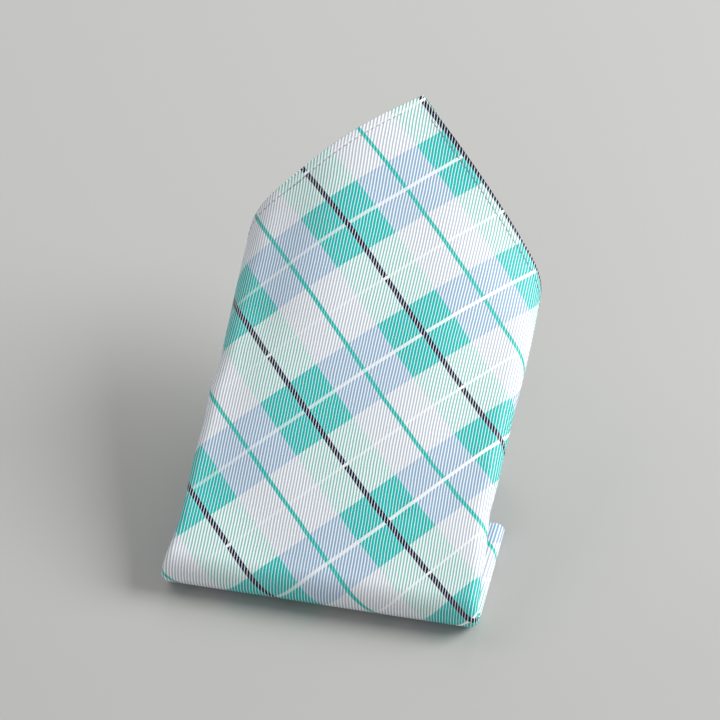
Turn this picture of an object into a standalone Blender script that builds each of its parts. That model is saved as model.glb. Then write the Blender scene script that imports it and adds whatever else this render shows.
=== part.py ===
# Pocket square folded to one point, standing on its folded-back lower edge and leaning back.
# One square of cloth is doubled corner to corner into a three-cornered leaf. Its two side corners
# are folded behind, and its doubled base is folded back underneath as a foot.
# Metres, +Z up. The front faces -Y, and the origin is under the middle of the part, on the surface.
import bpy
import bmesh
import math
from collections import namedtuple

MM = 0.001

# The cloth
SQUARE_SIDE = 327 * MM                      # hemmed square, laid flat
LEAF_HEIGHT = SQUARE_SIDE / math.sqrt(2)    # from the point to the doubled base
LEAF_THICKNESS = 1.2 * MM                   # the two layers of cloth lie together as one leaf
FLAP_REACH = 138 * MM                       # from the centre line to where a side flap ends, hidden
LEFT_HEM = math.tan(math.radians(47.5))     # the left hem runs a little out of square
RIGHT_HEM = math.tan(math.radians(44.8))
HEM_WAVE = 1.4 * MM                         # and in a slight wave
HEM_WAVE_LENGTH = 62 * MM

# The folded packet
BEND_START = 172.6 * MM                     # from the point to the bottom fold
BEND_RADIUS = 8 * MM                        # to the middle of the front leaf
LEAN = math.radians(28.8)                   # rise of the front panel above the surface
POINT_LIFT = math.radians(1.2)              # the last stretch rises a little more steeply
POINT_STRETCH = 58 * MM
TWIST = math.radians(11)                    # the point is turned, with its right edge lower
TWIST_POWER = 1.55
FOLD_SKEW = 0.022                           # the bottom fold runs a little back towards the right
CROWN_START = 0.28                          # share of the front that is flat before it is crowned
REST_HEIGHT = LEAF_THICKNESS / 2            # middle of a leaf that lies on the surface

# Sections across the packet, from the point to the end of the foot:
# left and right are the widths from the centre line to the side folds, the crowns are the angles
# that the front has turned through there, the rolls are the radii of the side folds, and drop is
# the slope of the right flap, which hangs down to the surface and props the panel.
Section = namedtuple("Section", "name from_point left right left_crown right_crown "
                                "left_roll right_roll drop")
SECTIONS = [
    Section("point",        0 * MM, 42.5 * MM, 44.5 * MM, 31, 19, 10.0 * MM,  9.0 * MM, 64),
    Section("shoulders",   50 * MM, 43.0 * MM, 46.0 * MM, 25, 25, 14.0 * MM, 11.5 * MM, 64),
    Section("prop_top",   104 * MM, 45.5 * MM, 45.6 * MM, 11, 10,  6.0 * MM,  5.4 * MM, 64),
    Section("prop_mid",   116 * MM, 47.2 * MM, 45.0 * MM,  8,  8,  4.8 * MM,  5.2 * MM, 47),
    Section("prop_end",   128 * MM, 47.2 * MM, 44.6 * MM,  6,  6,  4.2 * MM,  5.0 * MM, 30),
    Section("over_foot",  142 * MM, 48.4 * MM, 43.8 * MM,  4,  4,  3.4 * MM,  4.6 * MM, 11),
    Section("low_panel",  163 * MM, 49.0 * MM, 46.7 * MM,  1,  1,  2.0 * MM,  3.2 * MM,  3),
    Section("bend",       184 * MM, 52.4 * MM, 47.8 * MM,  0,  0,  1.6 * MM,  2.6 * MM,  0),
    Section("foot_end",   232 * MM, 50.0 * MM, 48.6 * MM,  0,  0,  1.6 * MM,  2.6 * MM,  0),
]

# How finely the leaf is divided
PANEL_ROWS = 22
BEND_ROWS = 9
FOOT_ROWS = 4
FLAT_COLUMNS = 5
ROLL_COLUMNS = 7
FLAP_COLUMNS = 7
PATH_STEP = 1 * MM
MERGE = 0.01 * MM

BEND_TURN = math.pi - LEAN
BEND_END = BEND_START + BEND_RADIUS * BEND_TURN

PRINT_TEAL = (0.30, 0.74, 0.69, 1.0)


def section_value(column, q):
    """One column of the section table at distance q from the point, straight between its rows."""
    for upper, lower in zip(SECTIONS, SECTIONS[1:]):
        if q <= lower.from_point:
            share = (q - upper.from_point) / (lower.from_point - upper.from_point)
            return (1 - share) * getattr(upper, column) + share * getattr(lower, column)
    return getattr(SECTIONS[-1], column)


def panel_path():
    """Places and slopes of the centre line, going up the panel from the bottom fold."""
    y = -BEND_RADIUS * math.sin(BEND_TURN)
    z = REST_HEIGHT + BEND_RADIUS * (1 - math.cos(BEND_TURN))
    places = [(y, z, LEAN)]
    for step in range(round(BEND_START / PATH_STEP)):
        q = BEND_START - (step + 1) * PATH_STEP
        slope = LEAN + POINT_LIFT * max(0.0, 1 - q / POINT_STRETCH) ** 2
        y += PATH_STEP * math.cos(slope)
        z += PATH_STEP * math.sin(slope)
        places.append((y, z, slope))
    return places


PANEL_PATH = panel_path()


def centre_line(q):
    """Place (y, z) of the leaf's centre line and the angle of its outward face, at distance q."""
    if q >= BEND_END:
        return q - BEND_END, REST_HEIGHT, -math.pi / 2
    if q >= BEND_START:
        turned = (BEND_END - q) / BEND_RADIUS
        y = -BEND_RADIUS * math.sin(turned)
        z = REST_HEIGHT + BEND_RADIUS * (1 - math.cos(turned))
        return y, z, turned - math.pi / 2
    up = (BEND_START - q) / PATH_STEP
    index = min(int(up), len(PANEL_PATH) - 2)
    share = up - index
    y, z, slope = (a + share * (b - a) for a, b in zip(PANEL_PATH[index], PANEL_PATH[index + 1]))
    return y, z, math.pi / 2 - slope


def along_arcs(pieces, distance):
    """Place (x, h) reached by going a distance along pieces of (length, turn), bending down."""
    x = h = heading = 0.0
    for length, turn in pieces:
        part = min(distance, length)
        bend = turn / length
        if abs(bend) < 1e-6:
            x += part * math.cos(heading)
            h -= part * math.sin(heading)
        else:
            x += (math.sin(heading + bend * part) - math.sin(heading)) / bend
            h -= (math.cos(heading) - math.cos(heading + bend * part)) / bend
            heading += bend * part
        distance -= part
        if distance <= 0:
            break
    return x, h


def side_fold(q, side):
    """Lengths and turns across one half: flat middle, crowned front, rounded fold, flap behind."""
    if side < 0:
        flat = section_value("left", q)
        crown = math.radians(section_value("left_crown", q))
        radius = section_value("left_roll", q)
        turn = math.pi - crown
    else:
        flat = section_value("right", q)
        crown = math.radians(section_value("right_crown", q))
        radius = section_value("right_roll", q)
        turn = math.pi - math.radians(section_value("drop", q)) - crown
    middle = CROWN_START * flat
    return [(middle, 0.0), (flat - middle, crown), (radius * turn, turn), (LEAF_HEIGHT, 0.0)]


def hem_across(q, side):
    """Distance from the centre line to the hem, at distance q from the point."""
    if side > 0:
        return q * RIGHT_HEM
    return max(0.0, q * LEFT_HEM + HEM_WAVE * math.sin(2 * math.pi * q / HEM_WAVE_LENGTH))


def leaf_place(q, p, side):
    """World place of the leaf's middle surface at distance q from the point and p from the centre."""
    x, h = along_arcs(side_fold(q, side), p)
    x *= side
    up = max(0.0, 1 - q / BEND_START)
    twist = -TWIST * up ** TWIST_POWER
    x, h = x * math.cos(twist) - h * math.sin(twist), x * math.sin(twist) + h * math.cos(twist)
    y, z, facing = centre_line(q + FOLD_SKEW * x)
    y += FOLD_SKEW * math.cos(LEAN) * x
    return x, y - h * math.cos(facing), max(REST_HEIGHT, z + h * math.sin(facing))


def row_distances():
    """Distances from the point at which the leaf is divided, closer round the bottom fold."""
    rows = [BEND_START * k / PANEL_ROWS for k in range(PANEL_ROWS)]
    rows += [BEND_START + (BEND_END - BEND_START) * k / BEND_ROWS for k in range(BEND_ROWS)]
    rows += [BEND_END + (LEAF_HEIGHT - BEND_END) * k / FOOT_ROWS for k in range(FOOT_ROWS + 1)]
    return rows


def half_columns(q, side):
    """Distances from the centre line at which one half of a row is divided, up to the hem."""
    (middle, _), (crowned, _), (roll, _), _ = side_fold(q, side)
    flat = middle + crowned
    flap = FLAP_REACH - flat - roll
    columns = [flat * k / FLAT_COLUMNS for k in range(FLAT_COLUMNS)]
    columns += [flat + roll * k / ROLL_COLUMNS for k in range(ROLL_COLUMNS)]
    columns += [flat + roll + flap * k / FLAP_COLUMNS for k in range(FLAP_COLUMNS + 1)]
    return [min(column, hem_across(q, side)) for column in columns]


def leaf_row(bm, q):
    """Vertices of one row, from the left flap's edge to the right flap's edge."""
    left = [bm.verts.new(leaf_place(q, p, -1)) for p in reversed(half_columns(q, -1))]
    right = [bm.verts.new(leaf_place(q, p, 1)) for p in half_columns(q, 1)[1:]]
    return left + right


def leaf_mesh():
    """Open middle surface of the folded leaf, standing on the surface, centred over the origin."""
    bm = bmesh.new()
    rows = [leaf_row(bm, q) for q in row_distances()]
    for upper, lower in zip(rows, rows[1:]):
        for k in range(len(upper) - 1):
            bm.faces.new((upper[k], lower[k], lower[k + 1], upper[k + 1]))
    bmesh.ops.remove_doubles(bm, verts=bm.verts, dist=MERGE)
    bmesh.ops.dissolve_degenerate(bm, edges=bm.edges, dist=MERGE)
    bmesh.ops.triangulate(bm, faces=bm.faces)
    left = min(v.co.x for v in bm.verts)
    right = max(v.co.x for v in bm.verts)
    front = min(v.co.y for v in bm.verts) - LEAF_THICKNESS / 2
    back = max(v.co.y for v in bm.verts) + LEAF_THICKNESS / 2 * math.sin(LEAN)
    bmesh.ops.translate(bm, verts=bm.verts, vec=(-(left + right) / 2, -(front + back) / 2, 0))
    mesh = bpy.data.meshes.new("folded_square")
    bm.to_mesh(mesh)
    bm.free()
    return mesh


def cloth_material():
    material = bpy.data.materials.new("woven_check_cloth")
    material.use_nodes = True
    shader = material.node_tree.nodes["Principled BSDF"]
    shader.inputs["Base Color"].default_value = PRINT_TEAL
    shader.inputs["Roughness"].default_value = 0.45
    shader.inputs["Metallic"].default_value = 0.0
    material.diffuse_color = PRINT_TEAL
    return material


for old in list(bpy.data.objects):
    bpy.data.objects.remove(old, do_unlink=True)

collection = bpy.data.collections.new("pocket_square")
bpy.context.scene.collection.children.link(collection)

square = bpy.data.objects.new("folded_square", leaf_mesh())
square.data.materials.append(cloth_material())
collection.objects.link(square)

shell = square.modifiers.new("leaf_thickness", "SOLIDIFY")
shell.thickness = LEAF_THICKNESS
shell.offset = 0.0
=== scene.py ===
import math
from collections import namedtuple

import bmesh
import bpy
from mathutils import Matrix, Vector


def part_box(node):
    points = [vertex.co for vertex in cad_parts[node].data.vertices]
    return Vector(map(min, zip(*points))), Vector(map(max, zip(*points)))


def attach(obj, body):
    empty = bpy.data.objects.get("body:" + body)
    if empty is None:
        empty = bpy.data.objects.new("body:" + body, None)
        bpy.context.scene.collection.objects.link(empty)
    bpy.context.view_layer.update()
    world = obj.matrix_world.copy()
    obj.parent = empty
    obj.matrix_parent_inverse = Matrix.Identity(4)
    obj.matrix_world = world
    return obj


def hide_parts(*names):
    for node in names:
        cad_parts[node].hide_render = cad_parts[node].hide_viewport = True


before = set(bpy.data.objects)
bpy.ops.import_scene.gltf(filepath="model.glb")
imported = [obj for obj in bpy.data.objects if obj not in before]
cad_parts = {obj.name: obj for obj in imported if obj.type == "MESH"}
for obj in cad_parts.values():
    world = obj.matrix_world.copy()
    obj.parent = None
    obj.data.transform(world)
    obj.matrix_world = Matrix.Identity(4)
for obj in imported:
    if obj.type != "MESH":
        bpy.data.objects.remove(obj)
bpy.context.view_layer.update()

MM = 0.001

# The folded square: one hemmed square of light silky twill, doubled corner to corner. The point
# stands up, the two side corners are folded behind in soft rolls, and the doubled base is folded
# back underneath as a foot. It is one piece of cloth, held only by its folds.
SQUARE_SIDE = 327 * MM
LEAF_HEIGHT = SQUARE_SIDE / math.sqrt(2)    # from the point to the doubled base
LEAF_THICKNESS = 1.2 * MM
FLAP_REACH = 138 * MM                       # from the centre line to where a side flap ends
LEFT_HEM = math.tan(math.radians(47.5))     # the left hem runs a little out of square
RIGHT_HEM = math.tan(math.radians(44.8))
HEM_WAVE = 1.4 * MM                         # and in a slight wave
HEM_WAVE_LENGTH = 62 * MM

BEND_START = 172.6 * MM                     # from the point to the bottom fold
BEND_RADIUS = 8 * MM
LEAN = math.radians(28.8)                   # rise of the front panel above the surface
POINT_LIFT = math.radians(1.2)              # the last stretch rises a little more steeply
POINT_STRETCH = 58 * MM
TWIST = math.radians(11)                    # the point is turned, with its right edge lower
TWIST_POWER = 1.55
FOLD_SKEW = 0.022                           # the bottom fold runs a little back towards the right
CROWN_START = 0.28                          # share of the front that is flat before it is crowned
REST_HEIGHT = LEAF_THICKNESS / 2
BEND_TURN = math.pi - LEAN
BEND_END = BEND_START + BEND_RADIUS * BEND_TURN
PATH_STEP = 1 * MM
STRAIGHT = 1e-6                             # turn for each metre, below which cloth lies straight

# Widths from the centre line to the side folds, the angles the front turns through there, the
# radii of the side folds, and the slope at which the right flap drops to the surface.
Section = namedtuple("Section", "name from_point left right left_crown right_crown "
                                "left_roll right_roll drop")
SECTIONS = [
    Section("point",        0 * MM, 42.5 * MM, 44.5 * MM, 31, 19, 10.0 * MM,  9.0 * MM, 64),
    Section("shoulders",   50 * MM, 43.0 * MM, 46.0 * MM, 25, 25, 14.0 * MM, 11.5 * MM, 64),
    Section("prop_top",   104 * MM, 45.5 * MM, 45.6 * MM, 11, 10,  6.0 * MM,  5.4 * MM, 64),
    Section("prop_mid",   116 * MM, 47.2 * MM, 45.0 * MM,  8,  8,  4.8 * MM,  5.2 * MM, 47),
    Section("prop_end",   128 * MM, 47.2 * MM, 44.6 * MM,  6,  6,  4.2 * MM,  5.0 * MM, 30),
    Section("over_foot",  142 * MM, 48.4 * MM, 43.8 * MM,  4,  4,  3.4 * MM,  4.6 * MM, 11),
    Section("low_panel",  163 * MM, 49.0 * MM, 46.7 * MM,  1,  1,  2.0 * MM,  3.2 * MM,  3),
    Section("bend",       184 * MM, 52.4 * MM, 47.8 * MM,  0,  0,  1.6 * MM,  2.6 * MM,  0),
    Section("foot_end",   232 * MM, 50.0 * MM, 48.6 * MM,  0,  0,  1.6 * MM,  2.6 * MM,  0),
]


def section_value(column, q):
    """One column of the section table at distance q from the point, straight between its rows."""
    for upper, lower in zip(SECTIONS, SECTIONS[1:]):
        if q <= lower.from_point:
            share = (q - upper.from_point) / (lower.from_point - upper.from_point)
            return (1 - share) * getattr(upper, column) + share * getattr(lower, column)
    return getattr(SECTIONS[-1], column)


def panel_path():
    """Places and slopes of the centre line, going up the panel from the bottom fold."""
    y = -BEND_RADIUS * math.sin(BEND_TURN)
    z = REST_HEIGHT + BEND_RADIUS * (1 - math.cos(BEND_TURN))
    places = [(y, z, LEAN)]
    for step in range(round(BEND_START / PATH_STEP)):
        q = BEND_START - (step + 1) * PATH_STEP
        slope = LEAN + POINT_LIFT * max(0.0, 1 - q / POINT_STRETCH) ** 2
        y += PATH_STEP * math.cos(slope)
        z += PATH_STEP * math.sin(slope)
        places.append((y, z, slope))
    return places


PANEL_PATH = panel_path()


def centre_line(q):
    """Place (y, z) of the cloth's centre line and the angle of its outward face, at distance q."""
    if q >= BEND_END:
        return q - BEND_END, REST_HEIGHT, -math.pi / 2
    if q >= BEND_START:
        turned = (BEND_END - q) / BEND_RADIUS
        y = -BEND_RADIUS * math.sin(turned)
        z = REST_HEIGHT + BEND_RADIUS * (1 - math.cos(turned))
        return y, z, turned - math.pi / 2
    up = (BEND_START - q) / PATH_STEP
    index = min(int(up), len(PANEL_PATH) - 2)
    share = up - index
    y, z, slope = (a + share * (b - a) for a, b in zip(PANEL_PATH[index], PANEL_PATH[index + 1]))
    return y, z, math.pi / 2 - slope


def along_arcs(pieces, distance):
    """Place (x, h) reached by going a distance along pieces of (length, turn), bending down."""
    x = h = heading = 0.0
    for length, turn in pieces:
        part = min(distance, length)
        bend = turn / length
        if abs(bend) < STRAIGHT:
            x += part * math.cos(heading)
            h -= part * math.sin(heading)
        else:
            x += (math.sin(heading + bend * part) - math.sin(heading)) / bend
            h -= (math.cos(heading) - math.cos(heading + bend * part)) / bend
            heading += bend * part
        distance -= part
        if distance <= 0:
            break
    return x, h


def side_fold(q, side):
    """Lengths and turns across one half: flat middle, crowned front, rounded fold, flap behind."""
    if side < 0:
        flat = section_value("left", q)
        crown = math.radians(section_value("left_crown", q))
        radius = section_value("left_roll", q)
        turn = math.pi - crown
    else:
        flat = section_value("right", q)
        crown = math.radians(section_value("right_crown", q))
        radius = section_value("right_roll", q)
        turn = math.pi - math.radians(section_value("drop", q)) - crown
    middle = CROWN_START * flat
    return [(middle, 0.0), (flat - middle, crown), (radius * turn, turn), (LEAF_HEIGHT, 0.0)]


def hem_across(q, side):
    """Distance from the centre line to the hem, at distance q from the point."""
    if side > 0:
        return q * RIGHT_HEM
    return max(0.0, q * LEFT_HEM + HEM_WAVE * math.sin(2 * math.pi * q / HEM_WAVE_LENGTH))


def middle_place(q, p, side):
    """Place of the doubled cloth's middle at distance q from the point, p from the centre line."""
    x, h = along_arcs(side_fold(q, side), p)
    x *= side
    up = max(0.0, 1 - q / BEND_START)
    twist = -TWIST * up ** TWIST_POWER
    x, h = x * math.cos(twist) - h * math.sin(twist), x * math.sin(twist) + h * math.cos(twist)
    y, z, facing = centre_line(q + FOLD_SKEW * x)
    y += FOLD_SKEW * math.cos(LEAN) * x
    return Vector((x, y - h * math.cos(facing), max(REST_HEIGHT, z + h * math.sin(facing))))


# Soft troughs (negative) and ridges (positive) pressed in by handling, each along a line on the
# front, given by distances down from the point and across from the centre line.
Crease = namedtuple("Crease", "name down_from across_from down_to across_to width rise")
CREASES = [
    Crease("left_shoulder",  40 * MM, -36 * MM,  84 * MM, -41 * MM,  9 * MM, -0.9 * MM),
    Crease("left_side",      92 * MM, -40 * MM, 150 * MM, -45 * MM,  8 * MM, -0.5 * MM),
    Crease("right_side",     84 * MM,  36 * MM, 140 * MM,  34 * MM,  9 * MM, -0.5 * MM),
    Crease("middle_swell",   70 * MM, -16 * MM, 130 * MM,  10 * MM, 24 * MM,  0.8 * MM),
    Crease("low_left_dip",  150 * MM, -36 * MM, 170 * MM, -20 * MM, 11 * MM, -0.6 * MM),
    Crease("low_right_dip", 140 * MM,  20 * MM, 166 * MM,  32 * MM, 11 * MM, -0.5 * MM),
    Crease("point_roll",      8 * MM,   2 * MM,  46 * MM,  30 * MM,  9 * MM, -0.4 * MM),
    Crease("side_pull",     124 * MM,  43 * MM, 145 * MM,  24 * MM,  3 * MM,  0.4 * MM),
    Crease("side_pull_low", 133 * MM,  42 * MM, 150 * MM,  27 * MM,  3 * MM, -0.3 * MM),
]


def crease_rise(q, p):
    """How far the creases lift the cloth at distance q from the point and p to the right."""
    rise = 0.0
    for crease in CREASES:
        along = Vector((crease.down_to - crease.down_from, crease.across_to - crease.across_from))
        offset = Vector((q - crease.down_from, p - crease.across_from))
        share = min(1.0, max(0.0, offset.dot(along) / along.length_squared))
        distance = (offset - share * along).length / crease.width
        rise += crease.rise * math.exp(-distance * distance)
    return rise


HEM_WIDTH = 3.4 * MM
HEM_RISE = 0.16 * MM                        # a hem is three layers of cloth thick
HEM_EDGE_SOFTNESS = 0.25 * MM
STITCH_INSET = 3.0 * MM
STITCH_GROOVE = 0.12 * MM
STITCH_GROOVE_WIDTH = 0.38 * MM
FACE_DEPTH = 0.5 * MM                       # from the doubled cloth's middle to its outer face
RETURN_DEPTH = 0.08 * MM                    # each layer's hem is turned in towards the other's
NORMAL_STEP = 0.2 * MM


def hem_distance(q, p):
    """Distance from the hem, inwards, of a point q from the point and p to the right."""
    side = -1 if p < 0 else 1
    return (hem_across(q, side) - abs(p)) / math.sqrt(2)


def hem_relief(q, p):
    """The hem's extra thickness, with the stitching pulled down into it."""
    inside = hem_distance(q, p)
    edge = 1 / (1 + math.exp((inside - HEM_WIDTH) / HEM_EDGE_SOFTNESS))
    groove = (inside - STITCH_INSET) / STITCH_GROOVE_WIDTH
    return HEM_RISE * edge - STITCH_GROOVE * math.exp(-groove * groove)


def cloth_place(q, p, depth):
    """Place of a point of the cloth, depth out from the doubled cloth's middle, facing outwards."""
    side = -1 if p < 0 else 1
    here = middle_place(q, abs(p), side)
    down = middle_place(q + NORMAL_STEP, abs(p), side) - middle_place(q - NORMAL_STEP, abs(p), side)
    far = middle_place(q, abs(p) + NORMAL_STEP, side)
    near = middle_place(q, max(0.0, abs(p) - NORMAL_STEP), side)
    outward = down.cross((far - near) * side).normalized()
    return here + outward * depth


# The cloth is divided into rows down from the point and columns across, closer at the folds.
PANEL_ROWS = 120
BEND_ROWS = 22
FOOT_ROWS = 24
FRONT_COLUMNS = 34
ROLL_COLUMNS = 14
FLAP_COLUMNS = 36
FIRST_ROW = 0.6 * MM
EDGE_STEPS = 5                              # round each hem's folded edge
RETURN_STEPS = 3                            # on the part of the hem turned in
RETURN_WIDTH = 3 * MM


def row_distances():
    """Distances from the point at which the cloth is divided."""
    panel = BEND_START - FIRST_ROW
    rows = [FIRST_ROW + panel * k / PANEL_ROWS for k in range(PANEL_ROWS)]
    rows += [BEND_START + (BEND_END - BEND_START) * k / BEND_ROWS for k in range(BEND_ROWS)]
    rows += [BEND_END + (LEAF_HEIGHT - BEND_END) * k / FOOT_ROWS for k in range(FOOT_ROWS + 1)]
    return rows


def front_and_roll(q, side):
    """Widths, along the cloth, of one half of the front and of its rounded side fold."""
    (middle, _), (crowned, _), (roll, _), _ = side_fold(q, side)
    return middle + crowned, roll


def half_columns(q, side):
    """Distances from the centre line at which one half of a row is divided, up to its edge."""
    flat, roll = front_and_roll(q, side)
    flap = FLAP_REACH - flat - roll
    columns = [flat * k / FRONT_COLUMNS for k in range(FRONT_COLUMNS)]
    columns += [flat + roll * k / ROLL_COLUMNS for k in range(ROLL_COLUMNS)]
    columns += [flat + roll + flap * k / FLAP_COLUMNS for k in range(FLAP_COLUMNS + 1)]
    edge = min(FLAP_REACH, hem_across(q, side))
    if edge < FLAP_REACH:
        columns = [column * edge / FLAP_REACH for column in columns]
    return columns


def edge_points(q, side):
    """The turned-in edge of one half of a row: cloth coordinates and depth, going inwards."""
    edge = half_columns(q, side)[-1]
    radius = (FACE_DEPTH + HEM_RISE - RETURN_DEPTH) / 2
    diagonal = edge < FLAP_REACH
    points = []
    for k in range(1, EDGE_STEPS + RETURN_STEPS + 1):
        turn = math.pi * min(k, EDGE_STEPS) / EDGE_STEPS
        inset = radius * (1 - math.sin(turn))
        if k > EDGE_STEPS:
            inset = RETURN_WIDTH * (k - EDGE_STEPS) / RETURN_STEPS
        depth = RETURN_DEPTH + radius * (1 + math.cos(turn))
        down = inset / math.sqrt(2) if diagonal else 0.0
        across = edge - (inset / math.sqrt(2) if diagonal else inset)
        points.append((q + down, side * max(0.0, across), depth))
    return points


def cloth_row(q, face):
    """One row of the outer (face 1) or inner (face -1) layer: cloth coordinates and depth."""
    halves = []
    for side in (-1, 1):
        half = []
        for p in half_columns(q, side):
            relief = hem_relief(q, side * p)
            if p <= sum(front_and_roll(q, side)):
                relief += crease_rise(q, side * p) * face
            half.append((q, side * p, FACE_DEPTH + relief))
        half += edge_points(q, side)
        halves.append(half)
    row = list(reversed(halves[0])) + halves[1][1:]
    return [(down, across, face * depth) for down, across, depth in row]


BASE_FOLD_STEPS = 6
REPEAT = 47 * MM                            # one repeat of the check, along a thread
FIRST_DOWN = -0.046                         # repeats from the point to the first navy line
FIRST_ACROSS = -0.044                       # repeats from the point to the first thin white line

# How the check has slipped, in millimetres, where handling pulled the cloth off the square. Down
# is counted in steps from the point and across in steps from the centre line.
DRIFT_DOWN_STEP = 100 * MM
DRIFT_ACROSS_STEP = 40 * MM
DRIFT_ACROSS_LIMIT = 1.2                    # beyond which a slip grows no more
DRIFT_WAVE_LENGTH = 1.5                     # of a slow wave down the cloth
DOWN_START = 0.55
DOWN_PER_STEP = -0.5
DOWN_WAVE = 0.25
DOWN_LOW_RIGHT = 1.2
ACROSS_START = -0.2
ACROSS_WAVE = -0.65
ACROSS_WAVE_PER_STEP = -0.5
ACROSS_LOW_RIGHT = 0.12
POINT_PULL_REACH = 0.4                      # steps down from the point
POINT_PULL_LEFT = 3.9
POINT_PULL_RIGHT = -1.4


def check_drift(q, p):
    """How far the check has slipped down and across where the cloth was pulled off the square."""
    down = min(q, BEND_END) / DRIFT_DOWN_STEP
    across = max(-DRIFT_ACROSS_LIMIT, min(DRIFT_ACROSS_LIMIT, p / DRIFT_ACROSS_STEP))
    left = max(0.0, -across)
    right = max(0.0, across)
    near_point = math.exp(-(down / POINT_PULL_REACH) ** 2)
    wave = math.sin(2 * math.pi * down / DRIFT_WAVE_LENGTH)
    slip_down = DOWN_START + DOWN_PER_STEP * down + DOWN_WAVE * wave
    slip_down += DOWN_LOW_RIGHT * (right * down) ** 2
    slip_across = ACROSS_START + (ACROSS_WAVE + ACROSS_WAVE_PER_STEP * across) * wave
    slip_across += near_point * (POINT_PULL_LEFT * left + POINT_PULL_RIGHT * right)
    slip_across += ACROSS_LOW_RIGHT * right ** 3 * down ** 4
    return slip_down * MM, slip_across * MM


def check_coordinates(q, p):
    """Repeats of the check along each thread direction, at a point of the flat cloth."""
    slip_down, slip_across = check_drift(min(q, 2 * LEAF_HEIGHT - q), p)
    diagonal = REPEAT * math.sqrt(2)
    down = q + slip_down
    across = p + slip_across
    return FIRST_DOWN + (down - across) / diagonal, FIRST_ACROSS + (down + across) / diagonal


def cloth_rows():
    """Rows of (cloth distance down, place down, place across, depth): out, round the base, back."""
    distances = row_distances()
    outer = [[(q, q, p, d) for q, p, d in cloth_row(row_q, 1)] for row_q in distances]
    inner = [[(2 * LEAF_HEIGHT - q, q, p, d) for q, p, d in cloth_row(row_q, -1)]
             for row_q in reversed(distances)]
    base = []
    for k in range(1, BASE_FOLD_STEPS):
        turn = math.pi * k / BASE_FOLD_STEPS
        reach = FACE_DEPTH * math.sin(turn)
        base.append([(LEAF_HEIGHT, q + reach, p, d * math.cos(turn)) for _, q, p, d in outer[-1]])
    tip_out = [(0.0, 0.0, 0.0, RETURN_DEPTH)] * len(outer[0])
    tip_in = [(2 * LEAF_HEIGHT, 0.0, 0.0, -RETURN_DEPTH)] * len(outer[0])
    return [tip_out] + outer + base + inner + [tip_in]


def cloth_mesh():
    """The whole square as one sheet, with the check's coordinates as its UV map."""
    rows = cloth_rows()
    width = len(rows[0])
    places = [cloth_place(q, p, depth) for row in rows for _, q, p, depth in row]
    checks = [check_coordinates(cloth_q, p) for row in rows for cloth_q, _, p, _ in row]
    faces = []
    for r in range(len(rows) - 1):
        for k in range(width - 1):
            first = r * width + k
            faces.append((first, first + width, first + width + 1, first + 1))
    mesh = bpy.data.meshes.new("pocket_square_cloth")
    mesh.from_pydata(places, [], faces)
    uv_map = mesh.uv_layers.new(name="check")
    for loop in mesh.loops:
        uv_map.data[loop.index].uv = checks[loop.vertex_index]
    return mesh


MERGE = 0.004 * MM
square = bpy.data.objects.new("folded_cloth", cloth_mesh())
bpy.context.scene.collection.objects.link(square)

# The cloth is moved over the solid that it replaces: centred across, with its front at the front
low, high = (Vector(corner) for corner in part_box("folded_square"))
xs = [vertex.co.x for vertex in square.data.vertices]
front = min(vertex.co.y for vertex in square.data.vertices)
CLOTH_SHIFT = Vector(((low.x + high.x - min(xs) - max(xs)) / 2, low.y - front, 0))

bm = bmesh.new()
bm.from_mesh(square.data)
bmesh.ops.translate(bm, verts=bm.verts, vec=CLOTH_SHIFT)
bmesh.ops.remove_doubles(bm, verts=bm.verts, dist=MERGE)
bmesh.ops.dissolve_degenerate(bm, edges=bm.edges, dist=MERGE)
for face in bm.faces:
    face.smooth = True
bm.to_mesh(square.data)
bm.free()


def linear(red, green, blue):
    """A colour given as it looks on a screen, 0 to 255, as the linear values that a shader reads."""
    def channel(value):
        value /= 255
        return value / 12.92 if value <= 0.04045 else ((value + 0.055) / 1.055) ** 2.4
    return (channel(red), channel(green), channel(blue), 1.0)


def calc(tree, operation, *values):
    """A Math node's result; each value is a number or another node's output."""
    node = tree.nodes.new("ShaderNodeMath")
    node.operation = operation
    for socket, value in zip(node.inputs, values):
        if isinstance(value, (int, float)):
            socket.default_value = value
        else:
            tree.links.new(value, socket)
    return node.outputs["Value"]


MIX_INPUTS = (0, 6, 7)                      # a colour Mix node's factor and its two colours
MIX_OUTPUT = 2


def blend_colours(tree, share, first, second, mode="MIX"):
    """A colour between first and second; each is a colour or another node's output."""
    node = tree.nodes.new("ShaderNodeMix")
    node.data_type = "RGBA"
    node.blend_type = mode
    for place, value in zip(MIX_INPUTS, (share, first, second)):
        socket = node.inputs[place]
        if isinstance(value, (int, float, tuple)):
            socket.default_value = value
        else:
            tree.links.new(value, socket)
    return node.outputs[MIX_OUTPUT]


def soft_step(tree, value, edge, softness):
    """0 below the edge and 1 above it, with a soft change between."""
    node = tree.nodes.new("ShaderNodeMapRange")
    node.interpolation_type = "SMOOTHSTEP"
    tree.links.new(calc(tree, "SUBTRACT", value, edge), node.inputs["Value"])
    node.inputs["From Min"].default_value = -softness
    node.inputs["From Max"].default_value = softness
    return node.outputs["Result"]


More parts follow.
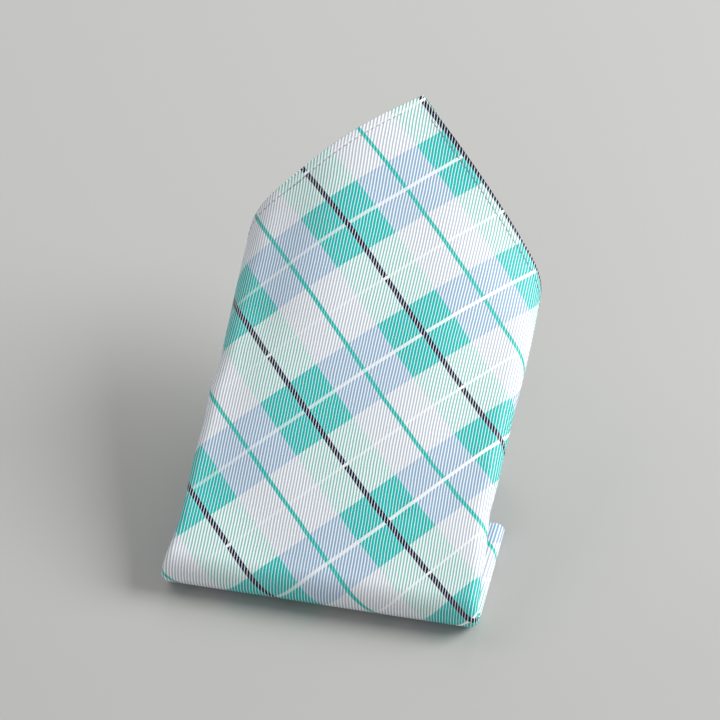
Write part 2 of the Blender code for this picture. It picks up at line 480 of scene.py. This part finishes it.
# The check's widths, in repeats. Columns of green and blue yarn cross saturated and pale rows.
GREEN_HALF = 0.245
SATURATED_HALF = 0.24
NAVY_HALF = 0.0185
THIN_TEAL_HALF = 0.0142
MAIN_WHITE_HALF = 0.0125
MINOR_WHITE_HALF = 0.010
MINOR_WHITE_PLACE = 0.008                   # each kind of white line's own place in the repeat
MAIN_WHITE_PLACE = 0.504
MINOR_WHITE_SHARE = 0.36                    # how white each line is
MINOR_WHITE_PAINTED_SHEEN = 0.20                     # and the painted sheen that whitens it more for each repeat to the right
MAIN_WHITE_SHARE = 0.62
MAIN_WHITE_PAINTED_SHEEN = 0.22
NAVY_GAP_WHITE = 0.6                        # white between the navy line's threads
RIBS_PER_REPEAT = 33                        # twill ribs, which run along the folded square's middle
THREADS_PER_RIB = 4
TEAL_RIB = 0.80                             # share of a rib's pitch that its coloured yarn covers
BLUE_RIB = 0.60
PALE_RIB = 0.50
NAVY_RIB = 0.78
THIN_TEAL_RIB = 0.88
RIB_SOFTNESS = 0.05
WAVER = 0.010                               # of the threads, in repeats
WAVER_SCALE = 5.0
RIDGE_POWER = 2.0                           # how full a rib's rounded back is
YARN_END_DIP = 0.3                          # of the rib, where one thread passes to the next

TEAL = linear(0, 179, 174)
PERIWINKLE = linear(136, 167, 195)
PALE_BLUE = linear(238, 243, 248)
MINT = linear(131, 189, 182)
LAVENDER = linear(178, 187, 199)
WHITE = linear(249, 250, 251)
BRIGHT_WHITE = linear(248, 248, 248)
NAVY = linear(0, 4, 50)
THIN_TEAL = linear(0, 178, 168)


def woven_check_group():
    """Colour, with painted sheen on its white lines, and rib height, of the yarn-dyed check in twill
    weave, from its UV coordinates.
    """
    group = bpy.data.node_groups.new("Woven check", "ShaderNodeTree")
    group.interface.new_socket("Check", in_out="INPUT", socket_type="NodeSocketVector")
    group.interface.new_socket("Color", in_out="OUTPUT", socket_type="NodeSocketColor")
    group.interface.new_socket("Height", in_out="OUTPUT", socket_type="NodeSocketFloat")
    given = group.nodes.new("NodeGroupInput")
    made = group.nodes.new("NodeGroupOutput")
    split = group.nodes.new("ShaderNodeSeparateXYZ")
    group.links.new(given.outputs["Check"], split.inputs[0])
    waver = group.nodes.new("ShaderNodeTexNoise")
    waver.inputs["Scale"].default_value = WAVER_SCALE
    group.links.new(given.outputs["Check"], waver.inputs["Vector"])
    wavered = group.nodes.new("ShaderNodeSeparateXYZ")
    group.links.new(waver.outputs["Color"], wavered.inputs[0])

    def beaten(thread, noise):
        """A thread's place, a little off straight where the weaving was beaten up unevenly."""
        off_middle = calc(group, "SUBTRACT", noise, 0.5)
        return calc(group, "ADD", thread, calc(group, "MULTIPLY", off_middle, WAVER))

    u = beaten(split.outputs["X"], wavered.outputs["X"])
    v = beaten(split.outputs["Y"], wavered.outputs["Y"])

    from_navy = calc(group, "PINGPONG", u, 0.5)
    from_minor = calc(group, "PINGPONG", calc(group, "ADD", v, MINOR_WHITE_PLACE), 0.5)
    from_main = calc(group, "PINGPONG", calc(group, "ADD", v, MAIN_WHITE_PLACE), 0.5)
    green = calc(group, "LESS_THAN", from_navy, GREEN_HALF)
    saturated = calc(group, "LESS_THAN", from_main, SATURATED_HALF)
    navy = calc(group, "LESS_THAN", from_navy, NAVY_HALF)
    thin_teal = calc(group, "GREATER_THAN", from_navy, 0.5 - THIN_TEAL_HALF)
    main_white = calc(group, "LESS_THAN", from_main, MAIN_WHITE_HALF)
    minor_white = calc(group, "LESS_THAN", from_minor, MINOR_WHITE_HALF)

    # Each rib steps from thread to thread, so its edges are fine stairs
    across = calc(group, "MULTIPLY", calc(group, "SUBTRACT", v, u), RIBS_PER_REPEAT)
    thread_rate = RIBS_PER_REPEAT * THREADS_PER_RIB
    thread = calc(group, "PINGPONG", calc(group, "MULTIPLY", u, thread_rate), 0.5)
    stepped = calc(group, "ADD", across, calc(group, "MULTIPLY", thread, 0.5 / THREADS_PER_RIB))
    from_rib = calc(group, "MULTIPLY", calc(group, "PINGPONG", stepped, 0.5), 2.0)

    def rib_mask(cover):
        """1 on the coloured yarn of each rib, 0 between."""
        return calc(group, "SUBTRACT", 1.0, soft_step(group, from_rib, cover, RIB_SOFTNESS))

    strong = blend_colours(group, green, rib_mask(BLUE_RIB), rib_mask(TEAL_RIB))
    pale = rib_mask(PALE_RIB)
    yarn_on_saturated = blend_colours(group, green, PERIWINKLE, TEAL)
    ground_on_saturated = blend_colours(group, green, PALE_BLUE, WHITE)
    yarn_on_pale = blend_colours(group, green, LAVENDER, MINT)
    saturated_rows = blend_colours(group, strong, ground_on_saturated, yarn_on_saturated)
    pale_rows = blend_colours(group, pale, WHITE, yarn_on_pale)
    colour = blend_colours(group, saturated, pale_rows, saturated_rows)

    # Painted sheen: the white lines are whiter towards the right, where the light falls on them
    to_right = calc(group, "SUBTRACT", v, u)
    minor_painted_sheen = calc(group, "MULTIPLY", to_right, MINOR_WHITE_PAINTED_SHEEN)
    minor_share_and_sheen = calc(group, "ADD", MINOR_WHITE_SHARE, minor_painted_sheen)
    minor_line_and_sheen = calc(group, "MULTIPLY", minor_white, minor_share_and_sheen)
    colour = blend_colours(group, minor_line_and_sheen, colour, BRIGHT_WHITE)
    teal_line = calc(group, "MULTIPLY", thin_teal, rib_mask(THIN_TEAL_RIB))
    colour = blend_colours(group, teal_line, colour, THIN_TEAL)
    main_painted_sheen = calc(group, "MULTIPLY", to_right, MAIN_WHITE_PAINTED_SHEEN)
    main_share_and_sheen = calc(group, "ADD", MAIN_WHITE_SHARE, main_painted_sheen)
    main_line_and_sheen = calc(group, "MULTIPLY", main_white, main_share_and_sheen)
    colour = blend_colours(group, main_line_and_sheen, colour, BRIGHT_WHITE)
    navy_gaps = calc(group, "MULTIPLY", navy, NAVY_GAP_WHITE)
    colour = blend_colours(group, navy_gaps, colour, BRIGHT_WHITE)
    navy_shown = calc(group, "MULTIPLY", navy, calc(group, "SUBTRACT", 1.0, minor_white))
    navy_line = calc(group, "MULTIPLY", navy_shown, rib_mask(NAVY_RIB))
    colour = blend_colours(group, navy_line, colour, NAVY)
    group.links.new(colour, made.inputs["Color"])

    ridge = calc(group, "SUBTRACT", 1.0, calc(group, "POWER", from_rib, RIDGE_POWER))
    yarn_ends = calc(group, "MULTIPLY", thread, YARN_END_DIP)
    group.links.new(calc(group, "SUBTRACT", ridge, yarn_ends), made.inputs["Height"])
    return group


YARN_SCALE = 60.0                           # of the unevenness from yarn to yarn, for each repeat
YARN_DETAIL = 3.0
YARN_DARKEST = 0.93
YARN_SHADES = 0.12
CLOTH_ROUGHNESS = 0.40
ROUGHNESS_RANGE = 0.16
CLOTH_SPECULAR = 0.24
SHEEN = 0.02
SHEEN_ROUGHNESS = 0.35
RIB_BUMP = 0.55
RIB_HEIGHT = 0.08 * MM


def cloth_material():
    """Satin-faced twill: soft gloss along the ribs, and a little unevenness from yarn to yarn."""
    material = bpy.data.materials.new("silky_check_twill")
    material.use_nodes = True
    tree = material.node_tree
    shader = tree.nodes["Principled BSDF"]
    uv_map = tree.nodes.new("ShaderNodeUVMap")
    uv_map.uv_map = "check"
    check = tree.nodes.new("ShaderNodeGroup")
    check.node_tree = woven_check_group()
    tree.links.new(uv_map.outputs["UV"], check.inputs["Check"])

    yarn = tree.nodes.new("ShaderNodeTexNoise")
    yarn.inputs["Scale"].default_value = YARN_SCALE
    yarn.inputs["Detail"].default_value = YARN_DETAIL
    tree.links.new(uv_map.outputs["UV"], yarn.inputs["Vector"])
    slub = calc(tree, "ADD", YARN_DARKEST, calc(tree, "MULTIPLY", yarn.outputs["Fac"], YARN_SHADES))
    slub_colour = tree.nodes.new("ShaderNodeCombineColor")
    for channel in slub_colour.inputs:
        tree.links.new(slub, channel)
    shade = blend_colours(tree, 1.0, check.outputs["Color"], slub_colour.outputs["Color"], "MULTIPLY")
    tree.links.new(shade, shader.inputs["Base Color"])

    uneven = calc(tree, "MULTIPLY", yarn.outputs["Fac"], ROUGHNESS_RANGE)
    tree.links.new(calc(tree, "ADD", CLOTH_ROUGHNESS, uneven), shader.inputs["Roughness"])
    shader.inputs["Specular IOR Level"].default_value = CLOTH_SPECULAR
    shader.inputs["Sheen Weight"].default_value = SHEEN
    shader.inputs["Sheen Roughness"].default_value = SHEEN_ROUGHNESS

    bump = tree.nodes.new("ShaderNodeBump")
    bump.inputs["Strength"].default_value = RIB_BUMP
    bump.inputs["Distance"].default_value = RIB_HEIGHT
    tree.links.new(check.outputs["Height"], bump.inputs["Height"])
    tree.links.new(bump.outputs["Normal"], shader.inputs["Normal"])
    return material


square.data.materials.append(cloth_material())
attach(square, "root")
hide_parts("folded_square")

# Hem stitching: one row of fine machine stitches holds each hem, in a soft grey thread that sinks
# into the hem. It shows on both faces of the doubled square, and follows the hems behind.
STITCH_LENGTH = 1.7 * MM
STITCH_GAP = 0.5 * MM
THREAD_RADIUS = 0.13 * MM
THREAD_PROUD = 0.35                         # share of its radius that its middle stands proud
STITCH_START = 9 * MM                       # down from the point, where the two rows meet
STITCH_PATH_STEP = 1 * MM
STITCH_SEGMENTS = 6
STITCH_RINGS = 4
THREAD_GREY = linear(146, 138, 148)
THREAD_PAINTED_SHADE = 0.7                           # painted shade on the fibres that lie deepest in the thread
THREAD_ROUGHNESS = 0.5
FIBRE_SCALE = 4000.0


def stitch_path(side, face):
    """Places along one hem where its stitches lie, a little proud of the groove."""
    inset = STITCH_INSET * math.sqrt(2)
    places = []
    q = STITCH_START
    while hem_across(q, side) - inset < FLAP_REACH - RETURN_WIDTH:
        p = side * (hem_across(q, side) - inset)
        depth = FACE_DEPTH + hem_relief(q, p) + THREAD_RADIUS * THREAD_PROUD
        if abs(p) <= sum(front_and_roll(q, side)):
            depth += crease_rise(q, p) * face
        places.append(cloth_place(q, p, face * depth) + CLOTH_SHIFT)
        q += STITCH_PATH_STEP
    return places


def stitch_curves():
    """The four rows of stitching as one curve object, a polyline each."""
    curve = bpy.data.curves.new("hem_stitching_paths", "CURVE")
    curve.dimensions = "3D"
    for side in (-1, 1):
        for face in (1, -1):
            places = stitch_path(side, face)
            spline = curve.splines.new("POLY")
            spline.points.add(len(places) - 1)
            for point, place in zip(spline.points, places):
                point.co = (*place, 1)
    return curve


def thread_material():
    """Spun thread, with painted shade between its fibres as fine random patches."""
    material = bpy.data.materials.new("hem_thread")
    material.use_nodes = True
    tree = material.node_tree
    shader = tree.nodes["Principled BSDF"]
    place = tree.nodes.new("ShaderNodeTexCoord")
    fibre = tree.nodes.new("ShaderNodeTexNoise")
    fibre.inputs["Scale"].default_value = FIBRE_SCALE
    tree.links.new(place.outputs["Object"], fibre.inputs["Vector"])
    # Painted shade: random patches of the thread are darkened, standing for its deeper fibres
    painted_shade_grey = tuple(channel * THREAD_PAINTED_SHADE for channel in THREAD_GREY[:3]) + (1.0,)
    tree.links.new(blend_colours(tree, fibre.outputs["Fac"], painted_shade_grey, THREAD_GREY),
                   shader.inputs["Base Color"])
    shader.inputs["Roughness"].default_value = THREAD_ROUGHNESS
    return material


def stitch_tree():
    """Geometry Nodes: one rounded stitch laid along the path at every stitch and gap."""
    tree = bpy.data.node_groups.new("Hem stitches", "GeometryNodeTree")
    tree.interface.new_socket("Geometry", in_out="INPUT", socket_type="NodeSocketGeometry")
    for name, size in (("Stitch Length", STITCH_LENGTH), ("Stitch Gap", STITCH_GAP),
                       ("Thread Radius", THREAD_RADIUS)):
        socket = tree.interface.new_socket(name, in_out="INPUT", socket_type="NodeSocketFloat")
        socket.default_value = size
    tree.interface.new_socket("Material", in_out="INPUT", socket_type="NodeSocketMaterial")
    tree.interface.new_socket("Geometry", in_out="OUTPUT", socket_type="NodeSocketGeometry")
    given = tree.nodes.new("NodeGroupInput")
    made = tree.nodes.new("NodeGroupOutput")

    pitch = calc(tree, "ADD", given.outputs["Stitch Length"], given.outputs["Stitch Gap"])
    spaced = tree.nodes.new("GeometryNodeResampleCurve")
    spaced.mode = "LENGTH"
    tree.links.new(given.outputs["Geometry"], spaced.inputs["Curve"])
    tree.links.new(pitch, spaced.inputs["Length"])

    stitch = tree.nodes.new("GeometryNodeMeshUVSphere")
    stitch.inputs["Segments"].default_value = STITCH_SEGMENTS
    stitch.inputs["Rings"].default_value = STITCH_RINGS
    stitch.inputs["Radius"].default_value = 1.0
    size = tree.nodes.new("ShaderNodeCombineXYZ")
    tree.links.new(given.outputs["Thread Radius"], size.inputs["X"])
    tree.links.new(given.outputs["Thread Radius"], size.inputs["Y"])
    tree.links.new(calc(tree, "MULTIPLY", given.outputs["Stitch Length"], 0.5), size.inputs["Z"])

    tangent = tree.nodes.new("GeometryNodeInputTangent")
    aim = tree.nodes.new("FunctionNodeAlignRotationToVector")
    aim.axis = "Z"
    tree.links.new(tangent.outputs["Tangent"], aim.inputs["Vector"])
    laid = tree.nodes.new("GeometryNodeInstanceOnPoints")
    tree.links.new(spaced.outputs["Curve"], laid.inputs["Points"])
    tree.links.new(stitch.outputs["Mesh"], laid.inputs["Instance"])
    tree.links.new(aim.outputs["Rotation"], laid.inputs["Rotation"])
    tree.links.new(size.outputs["Vector"], laid.inputs["Scale"])

    real = tree.nodes.new("GeometryNodeRealizeInstances")
    tree.links.new(laid.outputs["Instances"], real.inputs["Geometry"])
    painted = tree.nodes.new("GeometryNodeSetMaterial")
    tree.links.new(real.outputs["Geometry"], painted.inputs["Geometry"])
    tree.links.new(given.outputs["Material"], painted.inputs["Material"])
    tree.links.new(painted.outputs["Geometry"], made.inputs["Geometry"])
    return tree


paths = bpy.data.objects.new("hem_stitching_paths", stitch_curves())
bpy.context.scene.collection.objects.link(paths)
stitcher = paths.modifiers.new("stitches", "NODES")
stitcher.node_group = stitch_tree()
for item in stitcher.node_group.interface.items_tree:
    if item.in_out == "INPUT" and item.name == "Material":
        stitcher[item.identifier] = thread_material()
bpy.context.view_layer.update()
evaluated = paths.evaluated_get(bpy.context.evaluated_depsgraph_get())
stitching_mesh = bpy.data.meshes.new_from_object(evaluated)
bpy.data.objects.remove(paths, do_unlink=True)
stitching = bpy.data.objects.new("hem_stitching", stitching_mesh)
bpy.context.scene.collection.objects.link(stitching)
for polygon in stitching_mesh.polygons:
    polygon.use_smooth = True
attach(stitching, "root")

# Camera: above the front, a little to the object's right, with a long lens.
SENSOR_WIDTH = 36                           # mm
LENS = 126.3                                # mm
CLIP_START = 10 * MM
CAMERA_ELEVATION = math.radians(42)
CAMERA_AZIMUTH = math.radians(12.8)
CAMERA_PLACE = Vector((0.1357, -0.5498, 0.6150))        # before the cloth's shift, which it shares
camera_data = bpy.data.cameras.new("camera")
camera_data.sensor_width = SENSOR_WIDTH
camera_data.lens = LENS
camera_data.clip_start = CLIP_START
camera = bpy.data.objects.new("camera", camera_data)
camera.location = CAMERA_PLACE + CLOTH_SHIFT
camera.rotation_euler = (math.pi / 2 - CAMERA_ELEVATION, 0, CAMERA_AZIMUTH)
bpy.context.scene.collection.objects.link(camera)
bpy.context.scene.camera = camera

# Floor: a smooth pale board, glossy enough for a faint reflection.
FLOOR_SIZE = 6.0
FLOOR_GREY = linear(176, 176, 173)
FLOOR_ROUGHNESS = 0.16
FLOOR_SPECULAR = 0.5
floor_mesh = bpy.data.meshes.new("pale_floor")
half = FLOOR_SIZE / 2
floor_mesh.from_pydata([(-half, -half, 0), (half, -half, 0), (half, half, 0), (-half, half, 0)],
                       [], [(0, 1, 2, 3)])
floor = bpy.data.objects.new("pale_floor", floor_mesh)
bpy.context.scene.collection.objects.link(floor)
floor_material = bpy.data.materials.new("pale_glossy_board")
floor_material.use_nodes = True
floor_shader = floor_material.node_tree.nodes["Principled BSDF"]
floor_shader.inputs["Base Color"].default_value = FLOOR_GREY
floor_shader.inputs["Roughness"].default_value = FLOOR_ROUGHNESS
floor_shader.inputs["Specular IOR Level"].default_value = FLOOR_SPECULAR
floor_mesh.materials.append(floor_material)

# Light: a broad soft box high on the right, weak ones on the left and behind, a low fill in front
# and a pale room. The camera doesn't see the lamps themselves.
Light = namedtuple("Light", "name place aim size watts")
LIGHTS = [
    Light("right_softbox", (1.40, 0.42, 1.08), (0.0, 0.0, 0.03), 1.10, 43.0),
    Light("left_softbox", (-1.0, 0.35, 1.10), (0.0, 0.0, 0.03), 0.70, 4.0),
    Light("back_softbox", (-0.35, 1.55, 0.95), (0.0, 0.0, 0.0), 1.10, 3.2),
    Light("low_fill", (-0.15, -1.20, 0.22), (0.0, 0.0, 0.0), 0.50, 2.2),
]
for light in LIGHTS:
    lamp_data = bpy.data.lights.new(light.name, "AREA")
    lamp_data.shape = "SQUARE"
    lamp_data.size = light.size
    lamp_data.energy = light.watts
    lamp = bpy.data.objects.new(light.name, lamp_data)
    lamp.visible_camera = False
    lamp.location = light.place
    lamp.rotation_euler = (Vector(light.aim) - Vector(light.place)).to_track_quat("-Z", "Y").to_euler()
    bpy.context.scene.collection.objects.link(lamp)

ROOM_GREY = (0.80, 0.81, 0.82, 1.0)
ROOM_STRENGTH = 0.45
world = bpy.data.worlds.new("pale_room")
world.use_nodes = True
world.node_tree.nodes["Background"].inputs["Color"].default_value = ROOM_GREY
world.node_tree.nodes["Background"].inputs["Strength"].default_value = ROOM_STRENGTH
bpy.context.scene.world = world
bpy.context.scene.view_settings.view_transform = "Standard"

bpy.context.view_layer.update()
